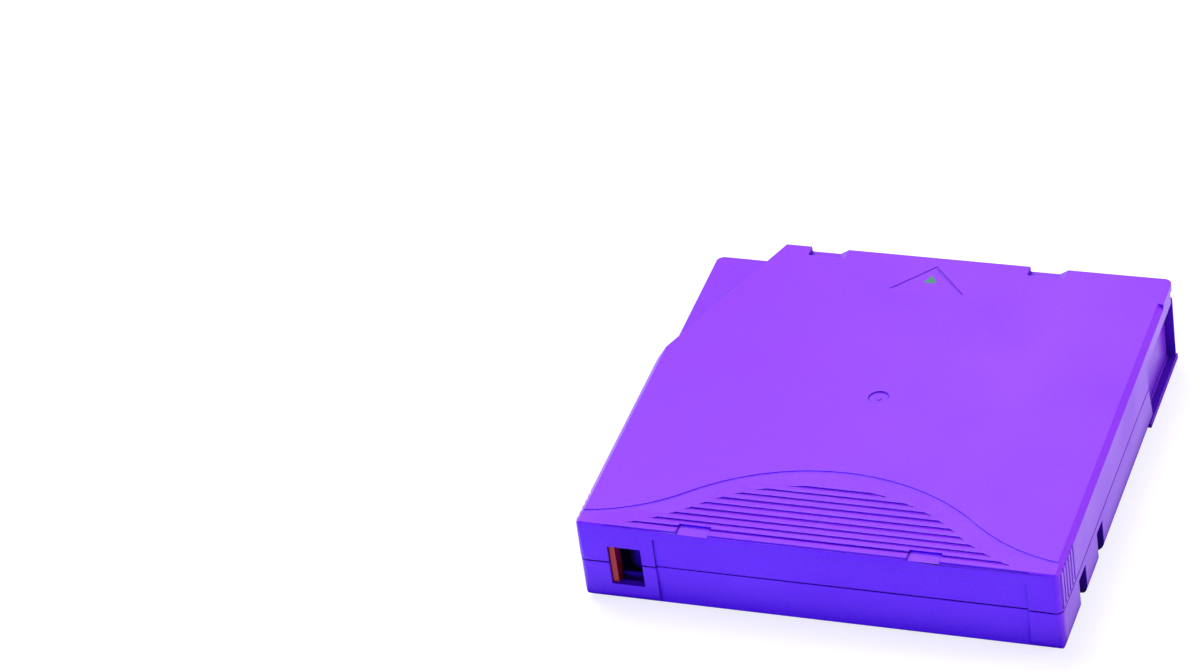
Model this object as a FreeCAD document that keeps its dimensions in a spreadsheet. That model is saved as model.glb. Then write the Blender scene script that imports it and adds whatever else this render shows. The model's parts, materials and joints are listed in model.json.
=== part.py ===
"""Half-inch data tape cartridge: case, sliding door, write-protect slider, reel, brake and leader pin.

Origin at the centre of the underside, below the reel axis.  +Y is the way the cartridge goes into the
drive, +X is the side with the access door, +Z is up.  All lengths are millimetres.
"""
import FreeCAD, Part
import math
import os
import re
import Sketcher

Vector = FreeCAD.Vector

SIZES = {
    # case
    "case_width": 105.4, "case_depth": 102.0, "case_height": 21.5, "parting_height": 10.75,
    "wall": 1.8, "deck": 1.8, "corner_radius": 1.8, "bottom_radius": 3.0, "top_radius": 1.2,
    "side_chamfer": 1.25, "overhang_length": 9.2, "seam_height": 0.3, "seam_depth": 0.3,
    # insertion notch across the front left corner
    "notch_depth": 5.3, "notch_side_run": 43.8, "notch_front_run": 16.8,
    # grip area on the top
    "bell_radius": 48.0, "bell_peak_inset": 25.1, "bell_flare_radius": 40.0, "bell_turn": 41.0,
    "bell_depth": 0.3, "grip_inset": 4.8, "grip_pitch": 2.15, "grip_count": 10.0, "grip_first": 5.4,
    "grip_depth": 0.4, "grip_slope": 1.1,
    # marks on the top
    "arrow_width": 16.6, "arrow_height": 9.3, "arrow_front_inset": 3.1, "arrow_line": 0.5,
    "arrow_depth": 0.25, "gate_radius": 2.3, "gate_depth": 0.3, "gate_pip_radius": 0.6,
    # handling notches in the top edges
    "front_notch_left": -29.9, "front_notch_right": 20.6, "front_notch_width": 8.6,
    "front_notch_ramp": 2.0, "front_notch_depth": 1.3, "front_notch_reach": 3.2,
    "rear_notch_left": -30.0, "rear_notch_right": 20.2, "rear_notch_width": 7.0,
    "rear_notch_depth": 0.9, "rear_notch_reach": 3.15,
    # sides
    "rib_count": 6.0, "rib_pitch": 1.9, "rib_groove": 0.95, "rib_groove_depth": 0.5,
    "rib_base": 0.75, "rib_rear_inset": 0.9,
    "rear_side_notch_inset": 13.5, "rear_side_notch_width": 5.4, "front_side_notch_inset": 28.9,
    "front_side_notch_width": 4.6, "side_notch_height": 8.8, "side_notch_depth": 2.6,
    "side_block_margin": 1.6, "side_block_depth": 4.1, "tooth_radius": 1.6,
    # rear face
    "label_left_margin": 17.2, "label_right_margin": 7.3, "label_base": 1.0, "label_top_margin": 3.1,
    "label_depth": 0.5, "protect_margin": 6.8, "protect_width": 7.3,
    "protect_base": 5.1, "protect_height": 10.1,
    # access door and its window
    "door_window_length": 23.8, "door_window_lean": 2.1, "door_window_base": 1.3,
    "door_window_head": 2.7,
    "door_thickness": 1.2, "door_gap": 0.2, "door_overlap": 1.4, "door_edge_gap": 0.3,
    "door_open_margin": 0.2, "door_guide_height": 0.8, "door_guide_width": 1.1, "door_lug_length": 1.6,
    "door_lug_depth": 1.3, "door_lug_height": 4.9, "opener_slot_width": 2.0,
    # screws
    "screw_side_inset": 9.4, "screw_end_inset": 8.7, "screw_door_side_inset": 16.4,
    "screw_door_end_inset": 4.6, "screw_radius": 1.1,
    "screw_head_radius": 2.3, "screw_head_height": 1.5, "screw_cross_half": 0.25,
    "screw_cross_depth": 0.8, "screw_sink": 2.2, "screw_length": 11.2,
    "screw_play": 0.2, "pilot_margin": 0.3, "boss_radius": 3.5,
    # locating holes in the underside
    "locator_side_inset": 8.2, "locator_front_inset": 24.0, "locator_radius": 2.4, "locator_depth": 1.7,
    "locator_wall": 1.0, "locator_slot": 2.0,
    # reel
    "flange_clearance": 1.2, "flange_guide_gap": 0.1, "reel_floor_gap": 1.4, "reel_roof_gap": 1.4,
    "flange_thickness": 1.0, "hub_radius": 22.0, "hub_wall": 1.6, "hub_floor": 2.0,
    "hub_eye_radius": 4.0, "spigot_depth": 1.5, "spigot_wall": 1.0, "spigot_play": 0.05,
    "drive_ring_step": 0.2, "drive_ring_width": 4.0, "drive_ring_sink": 0.9, "groove_overrun": 0.01,
    "tooth_count": 24.0, "drive_tooth_depth": 1.2, "drive_tooth_top": 1.2, "drive_tooth_slope": 0.5,
    "hub_opening_play": 1.1, "hub_rim_width": 1.6, "hub_rim_height": 0.7,
    "plate_inner": 5.5, "plate_ring_gap": 0.4, "plate_thickness": 1.0,
    "tape_edge_gap": 0.225, "pack_margin": 1.0,
    # brake
    "brake_ring_gap": 1.7, "brake_ring_width": 4.0, "brake_ring_height": 3.0,
    "brake_tooth_depth": 1.5, "brake_tooth_width": 0.7, "brake_tooth_slope": 0.25, "brake_play": 0.2,
    "brake_disc_edge": 1.4, "brake_disc_thickness": 1.2, "brake_boss_gap": 2.4, "brake_boss_step": 1.6,
    "brake_post_height": 6.0, "key_width": 1.6, "key_wall": 2.0,
    "key_play": 0.2, "key_socket_depth": 5.5, "release_travel": 1.8,
    "spring_post_gap": 1.15, "spring_wire": 0.9, "spring_turns": 4.0, "spring_cup_wall": 1.0,
    "spring_cup_depth": 1.0,
    # release plate
    "release_ring_gap": 1.8, "release_thickness": 1.0, "arm_width": 4.0,
    "leg_radius": 1.2, "leg_play": 0.3, "leg_length": 3.8,
    # write-protect slider
    "slider_thickness": 1.4, "slider_width": 6.2, "slider_overlap": 1.0, "slider_play": 0.2,
    "slider_bar_width": 1.25, "slider_bar_sink": 0.6, "slider_travel": 5.7, "slider_back_gap": 0.6,
    "slider_stop_gap": 1.25, "pocket_wall": 0.8,
    # leader pin
    "pin_guide_gap": 0.9, "pin_front_gap": 7.2, "pin_radius": 1.3, "pin_head_radius": 2.2,
    "pin_head_height": 1.2, "pin_end_gap": 0.5, "seat_play": 0.3, "seat_wall": 1.1, "seat_step": 0.2,
    "seat_reach": 1.6,
    "tape_thickness": 0.2, "tape_gap": 0.3, "clip_wall": 0.6, "clip_margin": 0.4, "clip_mouth_step": 0.3,
    "leaf_thickness": 0.3, "leaf_width": 1.2, "leaf_gap": 0.1, "leaf_reach": 3.0, "leaf_overlap": 1.0,
    # memory board
    "board_side_inset": 26.9, "board_length": 14.0, "board_width": 6.6, "board_thickness": 0.8,
    "board_wall_gap": 2.7, "board_floor_gap": 3.5, "board_holder": 1.0, "board_holder_length": 5.6,
    "chip_side": 3.0, "chip_thickness": 0.6,
    # door spring
    "door_spring_radius": 0.85, "door_spring_wire": 0.5, "door_spring_turns": 9.0,
    "door_spring_height": 8.0, "door_spring_inset": 1.3,
    # how far a cut runs past a face, and how far joined blocks run into one another
    "overshoot": 1.0, "overlap": 0.1,
}

# places that several pieces share, each worked out from the sizes
SHARED = {
    "half_width": "case_width / 2", "half_depth": "case_depth / 2",
    "inner_x": "half_width - wall", "inner_y": "half_depth - wall", "roof": "case_height - deck",
    "side_notch_rear": "-half_depth + rear_side_notch_inset",
    "side_notch_front": "-half_depth + front_side_notch_inset",
    "notch_floor": "case_height - notch_depth", "notch_slant": "sqrt(notch_side_run^2 + notch_front_run^2)",
    "door_outer": "inner_x - door_gap", "door_inner": "door_outer - door_thickness",
    "door_window_rear": "inner_y - door_window_length", "door_window_top": "roof - door_window_head",
    "door_travel": "door_window_length + door_open_margin",
    "door_rear": "door_window_rear - door_overlap", "door_front": "inner_y - door_edge_gap",
    "guide_outer": "door_inner - door_edge_gap", "guide_inner": "guide_outer - door_guide_width",
    "flange_radius": "min(inner_y - flange_clearance; guide_inner - flange_guide_gap)",
    "pack_radius": "flange_radius - pack_margin", "reel_base": "deck + reel_floor_gap",
    "flange_gap": "roof - reel_roof_gap - reel_base - 2 * flange_thickness",
    "tape_middle": "reel_base + flange_thickness + flange_gap / 2",
    "tape_width": "flange_gap - 2 * tape_edge_gap",
    "pack_base": "tape_middle - tape_width / 2", "flange_top": "tape_middle + flange_gap / 2",
    "hub_bore": "hub_radius - hub_wall", "floor_top": "reel_base + hub_floor",
    "drive_ring_outer": "hub_bore - drive_ring_step",
    "drive_ring_inner": "drive_ring_outer - drive_ring_width",
    "leg_circle": "(drive_ring_inner + drive_ring_outer) / 2",
    "plate_outer": "drive_ring_inner - plate_ring_gap",
    "brake_ring_outer": "leg_circle - leg_radius - leg_play - brake_ring_gap",
    "brake_ring_inner": "brake_ring_outer - brake_ring_width",
    "brake_disc_radius": "brake_ring_outer + brake_disc_edge",
    "brake_boss_radius": "brake_ring_inner - brake_boss_gap",
    "brake_post_radius": "brake_boss_radius - brake_boss_step",
    "key_length": "2 * (brake_post_radius - key_wall)",
    "spring_radius": "brake_post_radius + spring_post_gap + spring_wire / 2",
    "release_radius": "brake_ring_inner - release_ring_gap",
    "brake_ring_top": "floor_top + brake_ring_height", "release_base": "floor_top + brake_play",
    "release_top": "release_base + release_thickness", "brake_under": "brake_ring_top + brake_play",
    "brake_top": "brake_under + brake_disc_thickness", "post_top": "brake_top + brake_post_height",
    "side_block_x": "half_width - side_block_depth",
    "side_block_rear": "side_notch_rear - side_block_margin",
    "side_block_front": "side_notch_front + front_side_notch_width + side_block_margin",
    "protect_left": "-half_width + protect_margin", "protect_right": "protect_left + protect_width",
    "protect_top": "protect_base + protect_height",
    "slider_right": "protect_left + slider_bar_width + slider_play / 2",
    "slider_back": "-inner_y + slider_play + slider_thickness",
    "pocket_back": "slider_back + slider_back_gap",
    "pocket_end": "slider_right + slider_travel + slider_stop_gap",
    "opening_radius": "drive_ring_outer + hub_opening_play",
    "pin_x": "guide_inner - pin_guide_gap - pin_head_radius", "pin_y": "inner_y - pin_front_gap",
    "pin_base": "deck + pin_end_gap", "pin_top": "roof - pin_end_gap",
    "seat_height": "pin_end_gap + pin_head_height - seat_step",
    "screw_x": "inner_x - screw_side_inset", "screw_y": "inner_y - screw_end_inset",
    "locator_x": "half_width - locator_side_inset", "locator_y": "half_depth - locator_front_inset",
    "board_left": "inner_x - board_side_inset", "board_centre_y": "-inner_y + board_wall_gap",
    "board_centre_z": "deck + board_floor_gap",
}

doc = FreeCAD.newDocument("TapeCartridge")
sheet = doc.addObject("Spreadsheet::Sheet", "Sizes")


def bound(text):
    """The expression text with each size's name pointed at its cell in the sheet."""
    return re.sub(r"[a-z][a-z_]*[a-z]", lambda word: "Sizes." + word.group()
                  if word.group() in SIZES or word.group() in SHARED else word.group(), str(text))


def value(text):
    """What an expression of the sheet's sizes comes to, as a number."""
    result = sheet.evalExpression(bound(text))
    return float(getattr(result, "Value", result))


def fill_sheet():
    """Driving sizes as plain numbers, then the shared places as formulas of them."""
    for row, (name, number) in enumerate(SIZES.items(), start=1):
        sheet.set(f"A{row}", name)
        sheet.set(f"B{row}", str(number))
        sheet.setAlias(f"B{row}", name)
    for row, (name, formula) in enumerate(SHARED.items(), start=len(SIZES) + 2):
        sheet.set(f"A{row}", name)
        sheet.setAlias(f"B{row}", name)
        sheet.set(f"B{row}", "=" + re.sub("Sizes.", "", bound(formula)))
    doc.recompute()


# ---- outlines -------------------------------------------------------------------------------------

# each drawing plane: the two axes it shows, the axis it is extruded along, and its turn
COIL_STEPS = 12     # straight steps in one turn of a spring

PLANES = {
    "XY": ("x", "y", "z", FreeCAD.Rotation()),
    "XZ": ("x", "z", "y", FreeCAD.Rotation(Vector(1, 0, 0), 90)),
    "YZ": ("y", "z", "x", FreeCAD.Rotation(Vector(1, 1, 1), 120)),
}
DIRECTIONS = {"x": Vector(1, 0, 0), "y": Vector(0, 1, 0), "z": Vector(0, 0, 1)}


def new_sketch(body, name, plane, level):
    """Empty sketch on a plane at a level, in a body or on its own."""
    if body is None:
        sketch = doc.addObject("Sketcher::SketchObject", name)
        sketch.Placement.Rotation = PLANES[plane][3]
        sketch.setExpression(f".Placement.Base.{PLANES[plane][2]}", bound(level))
        return sketch
    sketch = body.newObject("Sketcher::SketchObject", name)
    support = [feature for feature in body.Origin.OriginFeatures if feature.Role == plane + "_Plane"][0]
    sketch.AttachmentSupport = [(support, "")]
    sketch.MapMode = "FlatFace"
    away = "-" if plane == "XZ" else ""
    sketch.setExpression(".AttachmentOffset.Base.z", bound(f"{away}({level})"))
    return sketch


def pin_point(sketch, geometry, end, x, y):
    """Hold one point of the sketch at two expressions."""
    for kind, text in (("DistanceX", x), ("DistanceY", y)):
        index = sketch.addConstraint(Sketcher.Constraint(kind, -1, 1, geometry, end, value(text)))
        sketch.setExpression(f"Constraints[{index}]", bound(text))


def outline(body, name, plane, points, level="0"):
    """Closed outline of straight lines through points given as pairs of expressions."""
    sketch = new_sketch(body, name, plane, level)
    places = [Vector(value(x), value(y), 0) for x, y in points]
    count = len(points)
    for index in range(count):
        sketch.addGeometry(Part.LineSegment(places[index], places[(index + 1) % count]), False)
    for index, (x, y) in enumerate(points):
        sketch.addConstraint(Sketcher.Constraint("Coincident", index, 2, (index + 1) % count, 1))
        pin_point(sketch, index, 1, x, y)
    return sketch


def circle(body, name, plane, x, y, radius, level="0"):
    """One full circle."""
    sketch = new_sketch(body, name, plane, level)
    centre = Vector(value(x), value(y), 0)
    sketch.addGeometry(Part.Circle(centre, Vector(0, 0, 1), value(radius)), False)
    pin_point(sketch, 0, 3, x, y)
    index = sketch.addConstraint(Sketcher.Constraint("Radius", 0, value(radius)))
    sketch.setExpression(f"Constraints[{index}]", bound(radius))
    return sketch


def corners(across, up):
    """The four corners of a rectangle given as two (low, high) pairs."""
    return [(across[0], up[0]), (across[1], up[0]), (across[1], up[1]), (across[0], up[1])]


# ---- Part workbench: primitives, extrusions and booleans --------------------------------------------

def block(name, x, y, z):
    """Box between two corners, each axis a (low, high) pair."""
    box = doc.addObject("Part::Box", name)
    for prop, axis, (low, high) in zip(("Length", "Width", "Height"), "xyz", (x, y, z)):
        box.setExpression(prop, bound(f"({high}) - ({low})"))
        box.setExpression(f".Placement.Base.{axis}", bound(low))
    return box


def post(name, x, y, z, radius):
    """Upright cylinder."""
    cylinder = doc.addObject("Part::Cylinder", name)
    cylinder.setExpression("Radius", bound(radius))
    cylinder.setExpression("Height", bound(f"({z[1]}) - ({z[0]})"))
    for axis, place in zip("xyz", (x, y, z[0])):
        cylinder.setExpression(f".Placement.Base.{axis}", bound(place))
    return cylinder


def prism(name, plane, points, along):
    """Outline extruded between two levels."""
    extrusion = doc.addObject("Part::Extrusion", name)
    extrusion.Base = outline(None, name + "_outline", plane, points, along[0])
    extrusion.DirMode = "Custom"
    extrusion.Dir = DIRECTIONS[PLANES[plane][2]]
    extrusion.Solid = True
    extrusion.setExpression("LengthFwd", bound(f"({along[1]}) - ({along[0]})"))
    return extrusion


def joined(name, pieces):
    """Union of several objects."""
    fuse = doc.addObject("Part::MultiFuse", name)
    fuse.Shapes = pieces
    fuse.Refine = True
    return fuse


def shared_part(name, pieces):
    """What several objects have in common."""
    common = doc.addObject("Part::MultiCommon", name)
    common.Shapes = pieces
    return common


def without(name, base, tools):
    """The base with the tools cut away."""
    cut = doc.addObject("Part::Cut", name)
    cut.Base = base
    cut.Tool = joined(name + "_tools", tools) if len(tools) > 1 else tools[0]
    cut.Refine = True
    return cut


# ---- PartDesign workbench ---------------------------------------------------------------------------

def new_body(name):
    return doc.addObject("PartDesign::Body", name)


def extruded(body, kind, name, profile, length, back=False):
    """Pad or Pocket of a profile; back turns it against the plane's normal."""
    feature = body.newObject("PartDesign::" + kind, name)
    feature.Profile = profile
    feature.Reversed = back
    feature.setExpression("Length", bound(length))
    return feature


def turned(body, kind, name, points):
    """Revolution or Groove of an outline of (radius, height) points about the upright axis."""
    profile = outline(body, name + "_profile", "XZ", points)
    feature = body.newObject("PartDesign::" + kind, name)
    feature.Profile = profile
    feature.ReferenceAxis = (profile, ["V_Axis"])
    return feature


def around(body, name, features, count):
    """Polar pattern of features about the upright axis."""
    pattern = body.newObject("PartDesign::PolarPattern", name)
    pattern.Originals = features
    pattern.Axis = ([feature for feature in body.Origin.OriginFeatures if feature.Role == "Z_Axis"][0], [""])
    pattern.Angle = 360
    pattern.setExpression("Occurrences", bound(count))
    body.Tip = pattern
    return pattern


def rounded_bar(name, plane, across, up, along, rounds):
    """Bar of rectangular section with some long edges rounded: rounds lists (across, up, radius)."""
    body = new_body(name)
    profile = outline(body, name + "_profile", plane, corners(across, up), along[0])
    last = extruded(body, "Pad", name + "_pad", profile, f"({along[1]}) - ({along[0]})", plane == "XZ")
    first, second = PLANES[plane][0], PLANES[plane][1]
    for number, (a, b, radius) in enumerate(rounds):
        doc.recompute()
        place = (value(a), value(b))
        names = [f"Edge{index}" for index, edge in enumerate(last.Shape.Edges, start=1)
                 if all(math.isclose(getattr(vertex.Point, first), place[0], abs_tol=1e-5)
                        and math.isclose(getattr(vertex.Point, second), place[1], abs_tol=1e-5)
                        for vertex in edge.Vertexes)]
        fillet = body.newObject("PartDesign::Fillet", f"{name}_round{number}")
        fillet.Base = (last, names)
        fillet.setExpression("Radius", bound(radius))
        last = fillet
    return body


# ---- case -----------------------------------------------------------------------------------------

SCREWS = {
    "rear_left": ("-screw_x", "-screw_y"), "rear_right": ("screw_x", "-screw_y"),
    "front_left": ("-screw_x", "screw_y"),
    "front_right": ("inner_x - screw_door_side_inset", "inner_y - screw_door_end_inset"),
}


def case_block(name, z, section_rounds, depth_rounds):
    """Outer form of one shell: plan, cross section and long section worked into one another."""
    width, depth = ("-half_width", "half_width"), ("-half_depth", "half_depth")
    plan_rounds = [(x, y, "corner_radius") for x in width for y in depth]
    plan = rounded_bar(name + "_plan", "XY", width, depth, z, plan_rounds)
    section = rounded_bar(name + "_section", "XZ", width, z, depth, section_rounds)
    side = rounded_bar(name + "_side", "YZ", depth, z, width, depth_rounds)
    return shared_part(name, [plan, section, side])


def bell(name, inset, z):
    """Bell-shaped area open to the rear: a round crown that runs out through two reversed arcs."""
    radius, flare = f"(bell_radius - {inset})", f"(bell_flare_radius + {inset})"
    crown_y = "(-half_depth + bell_peak_inset - bell_radius)"
    flare_x = "(bell_radius + bell_flare_radius) * sin(bell_turn)"
    flare_y = f"({crown_y} + (bell_radius + bell_flare_radius) * cos(bell_turn))"
    crown = post(name + "_crown", "0", crown_y, z, radius)
    skirt = block(name + "_skirt", ("-half_width - overshoot", "half_width + overshoot"),
                  ("-half_depth - overshoot", f"{crown_y} + {radius} * cos(bell_turn)"), z)
    flares = [post(f"{name}_flare_{side}", f"{sign}({flare_x})", flare_y, z, flare)
              for side, sign in (("left", "-"), ("right", ""))]
    return without(name, joined(name + "_filled", [crown, skirt]), flares)


def finger_grip():
    """Saw-tooth grooves across the bell, clipped a little inside its edge."""
    surface = "(case_height - bell_depth)"
    teeth = []
    for index in range(int(value("grip_count"))):
        wall = f"(-half_depth + bell_peak_inset - grip_first - {index} * grip_pitch)"
        points = [(wall, f"{surface} + overshoot"), (wall, f"{surface} - grip_depth"),
                  (f"{wall} - grip_slope", surface), (f"{wall} - grip_slope", f"{surface} + overshoot")]
        teeth.append(prism(f"grip_groove_{index}", "YZ", points, ("-half_width", "half_width")))
    inside = bell("grip_area", "grip_inset", (f"{surface} - overshoot", f"{surface} + overshoot"))
    return shared_part("finger_grip", [joined("grip_grooves", teeth), inside])


def direction_arrow():
    """Two fine grooves that meet in a point towards the front."""
    tip = "(half_depth - arrow_front_inset)"
    across = "(arrow_line * sqrt(arrow_width^2 / 4 + arrow_height^2) / arrow_height)"
    strokes = []
    for side, sign in (("left", "-"), ("right", "")):
        points = [("0", tip), (f"{sign}arrow_width / 2", f"{tip} - arrow_height"),
                  (f"{sign}(arrow_width / 2 - {across})", f"{tip} - arrow_height"),
                  ("0", f"{tip} - {across} * arrow_height / arrow_width * 2")]
        strokes.append(prism(f"arrow_{side}", "XY", points,
                             ("case_height - arrow_depth", "case_height + overshoot")))
    return strokes


def edge_notches():
    """Stepped notches in the front and rear edges of the top."""
    cuts = []
    for side in ("left", "right"):
        start = f"front_notch_{side}"
        points = [(start, "case_height + overshoot"), (start, "case_height - front_notch_depth"),
                  (f"{start} + front_notch_width - front_notch_ramp", "case_height - front_notch_depth"),
                  (f"{start} + front_notch_width", "case_height"),
                  (f"{start} + front_notch_width", "case_height + overshoot")]
        cuts.append(prism(f"front_notch_{side}_cut", "XZ", points,
                          ("half_depth - front_notch_reach", "half_depth + overshoot")))
        start = f"rear_notch_{side}"
        cuts.append(block(f"rear_notch_{side}_cut", (start, f"{start} + rear_notch_width"),
                          ("-half_depth - overshoot", "-half_depth + rear_notch_reach"),
                          ("case_height - rear_notch_depth", "case_height + overshoot")))
    return cuts


def side_grips():
    """Upright grooves near the rear of both sides, in the upper shell."""
    cuts = []
    for side, sign in (("left", "-"), ("right", "")):
        for index in range(int(value("rib_count"))):
            start = f"-half_depth + rib_rear_inset + {index} * rib_pitch"
            points = [(f"{sign}(half_width + overshoot)", start),
                      (f"{sign}(half_width + overshoot)", f"{start} + rib_groove"),
                      (f"{sign}half_width", f"{start} + rib_groove"),
                      (f"{sign}(half_width - rib_groove_depth)", f"{start} + rib_groove / 2"),
                      (f"{sign}half_width", start)]
            cuts.append(prism(f"side_grip_{side}_{index}", "XY", points,
                              ("parting_height + rib_base", "case_height + overshoot")))
    return cuts


def side_chamfers():
    """Chamfers along both top side edges that stop short of the front."""
    cuts = []
    for side, sign in (("left", "-"), ("right", "")):
        points = [(f"{sign}(half_width + overshoot)", "case_height + overshoot"),
                  (f"{sign}(half_width - side_chamfer - overshoot)", "case_height + overshoot"),
                  (f"{sign}(half_width + overshoot)", "case_height - side_chamfer - overshoot")]
        cuts.append(prism(f"side_chamfer_{side}", "XZ", points,
                          ("-half_depth - overshoot", "half_depth - overhang_length")))
    return cuts


def insertion_notch(inset):
    """Corner outline (with its slanted side moved in by inset) of the notch that the drive checks."""
    shift = f"({inset}) * notch_slant"
    side_y = f"half_depth - notch_side_run - {shift} / notch_front_run"
    front_x = f"-half_width + notch_front_run + {shift} / notch_side_run"
    return [("-half_width", side_y), (front_x, "half_depth"), ("-half_width", "half_depth")]


def door_window():
    """Window in the right wall; its rear edge leans forward below the parting line."""
    rear, lean = "door_window_rear", "door_window_rear + door_window_lean"
    points = [(lean, "door_window_base"), ("inner_y", "door_window_base"), ("inner_y", "door_window_top"),
              (rear, "door_window_top"), (rear, "parting_height")]
    window = prism("door_window", "YZ", points, ("inner_x - overshoot", "half_width + overshoot"))
    slot = block("opener_slot", ("inner_x - opener_slot_width", "half_width + overshoot"),
                 ("inner_y - overshoot", "half_depth + overshoot"), ("door_window_top", "roof"))
    return [window, slot]


def rear_openings(name):
    """Label recess and write-protect window."""
    label = block(name + "_label_recess", ("-half_width + label_left_margin", "half_width - label_right_margin"),
                  ("-half_depth - overshoot", "-half_depth + label_depth"),
                  ("label_base", "case_height - label_top_margin"))
    window = block(name + "_protect_window", ("protect_left", "protect_right"),
                   ("-half_depth - overshoot", "-inner_y + overlap"), ("protect_base", "protect_top"))
    return [label, window]


def slider_pocket(name, z, ledge):
    """Open frame and ledge that carry the write-protect slider behind the rear wall."""
    depth = ("pocket_back", "pocket_back + pocket_wall")
    back = without(name + "_pocket_back", block(name + "_pocket_plate", ("-inner_x", "pocket_end"), depth, z),
                   [block(name + "_pocket_view", ("protect_left", "protect_right"), depth,
                          ("protect_base", "protect_top"))])
    end = block(name + "_pocket_end", ("pocket_end", "pocket_end + pocket_wall"),
                ("-inner_y", "pocket_back + pocket_wall"), z)
    rail = block(name + "_pocket_rail", ("-inner_x", "pocket_end"), ("-inner_y", "pocket_back"), ledge)
    return [back, end, rail]


def seam():
    """Shallow line round the case just above the parting plane, set deeper along the label recess."""
    z = ("parting_height", "parting_height + seam_height")
    width, depth = (("-half_" + name + " + seam_depth", "half_" + name + " - seam_depth")
                    for name in ("width", "depth"))
    core = rounded_bar("seam_core", "XY", width, depth, z,
                       [(x, y, "corner_radius - seam_depth") for x in width for y in depth])
    band = block("seam_band", ("-half_width - overshoot", "half_width + overshoot"),
                 ("-half_depth - overshoot", "half_depth + overshoot"), z)
    label = block("seam_label", ("-half_width + label_left_margin", "half_width - label_right_margin"),
                  ("-half_depth - overshoot", "-half_depth + label_depth + seam_depth"), z)
    return [without("seam_ring", band, [core]), label]


def pin_seat(name, z):
    """Open-sided seat for one end of the leader pin."""
    reach = "(pin_head_radius + seat_play + seat_wall)"
    body = block(name + "_body", (f"pin_x - {reach}", "pin_x + seat_reach"),
                 (f"pin_y - {reach}", f"pin_y + {reach}"), z)
    bore = post(name + "_bore", "pin_x", "pin_y", z, "pin_head_radius + seat_play")
    mouth = block(name + "_mouth", ("pin_x", "pin_x + seat_reach"),
                  ("pin_y - pin_head_radius - seat_play", "pin_y + pin_head_radius + seat_play"), z)
    return without(name, body, [bore, mouth])


def door_guide(name, z):
    """Rib that keeps one edge of the door against the wall."""
    return block(name, ("guide_inner", "guide_outer"), ("door_rear - door_travel", "inner_y"), z)


def upper_shell():
    z = ("parting_height", "case_height")
    form = case_block("upper_form", z, [], [("-half_depth", "case_height", "top_radius")])
    cavity_low = block("upper_cavity_low", ("-inner_x", "inner_x"), ("-inner_y", "inner_y"),
                       ("parting_height", "notch_floor - deck"))
    cavity_high = without("upper_cavity_high",
                          block("upper_cavity_box", ("-inner_x", "inner_x"), ("-inner_y", "inner_y"),
                                ("notch_floor - deck - overlap", "roof")),
                          [prism("notch_wall", "XY", insertion_notch("wall"), ("notch_floor - deck", "roof"))])
    left, front = "-half_width - overshoot", "half_depth + overshoot"
    notch_outline = [(left, "half_depth - notch_side_run - overshoot * notch_side_run / notch_front_run"),
                     ("-half_width + notch_front_run + overshoot * notch_front_run / notch_side_run", front),
                     (left, front)]
    cuts = [cavity_low, cavity_high, prism("insertion_notch", "XY", notch_outline,
                                           ("notch_floor", "case_height + overshoot")),
            bell("bell_area", "0", ("case_height - bell_depth", "case_height + overshoot")), finger_grip(),
            post("gate_dimple", "0", "0", ("case_height - gate_depth", "case_height + overshoot"), "gate_radius")]
    cuts += direction_arrow() + edge_notches() + side_grips() + side_chamfers()
    cuts += door_window() + rear_openings("upper") + seam()
    skin = without("upper_skin", form, cuts)

    key_z = ("post_top - key_socket_depth + release_travel + key_play", "roof")
    key_reach, key_side = ("-key_length / 2", "key_length / 2"), ("-key_width / 2", "key_width / 2")
    inside = [block("key_across", key_reach, key_side, key_z), block("key_along", key_side, key_reach, key_z),
              post("gate_pip", "0", "0", ("roof", "case_height - gate_depth / 2"), "gate_pip_radius"),
              pin_seat("upper_pin_seat", ("case_height - deck - seat_height", "roof")),
              door_guide("upper_door_guide", ("roof - door_guide_height", "roof"))]
    cup_z, cup_inner = ("roof - spring_cup_depth", "roof"), "spring_radius + spring_wire"
    inside.append(without("spring_cup", post("cup_outer", "0", "0", cup_z, f"{cup_inner} + spring_cup_wall"),
                          [post("cup_inner", "0", "0", cup_z, cup_inner)]))
    inside += slider_pocket("upper", ("parting_height", "roof"),
                            ("protect_top + slider_overlap + slider_play", "roof"))
    holes = []
    for place, (x, y) in SCREWS.items():
        top = "notch_floor - deck" if place == "front_left" else "roof"
        inside.append(post(f"upper_boss_{place}", x, y, ("parting_height", top), "boss_radius"))
        holes.append(post(f"pilot_{place}", x, y,
                          ("parting_height", "screw_sink + screw_length + pilot_margin"), "screw_radius"))
    return without("upper_shell", joined("upper_solid", [skin] + inside), holes)


def side_notches():
    """Open-bottomed handling notches in both sides, with a rounded tooth between each pair."""
    cuts = []
    for side, sign in (("left", -1), ("right", 1)):
        x = ("-half_width - overshoot", "-half_width + side_notch_depth")
        if sign > 0:
            x = ("half_width - side_notch_depth", "half_width + overshoot")
        rear = ("side_notch_rear", "side_notch_rear + rear_side_notch_width")
        front = ("side_notch_front", "side_notch_front + front_side_notch_width")
        for place, span in (("rear", rear), ("front", front)):
            cuts.append(block(f"side_notch_{side}_{place}", x, span, ("-overshoot", "side_notch_height")))
        tooth = rounded_bar(f"tooth_{side}", "YZ", (rear[1], front[0]), ("0", "side_notch_height"), x,
                            [(y, "0", "tooth_radius") for y in (rear[1], front[0])])
        under = block(f"under_{side}", x, (rear[1], front[0]), ("0", "tooth_radius"))
        cuts.append(without(f"tooth_rounding_{side}", under, [tooth]))
    return cuts


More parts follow.
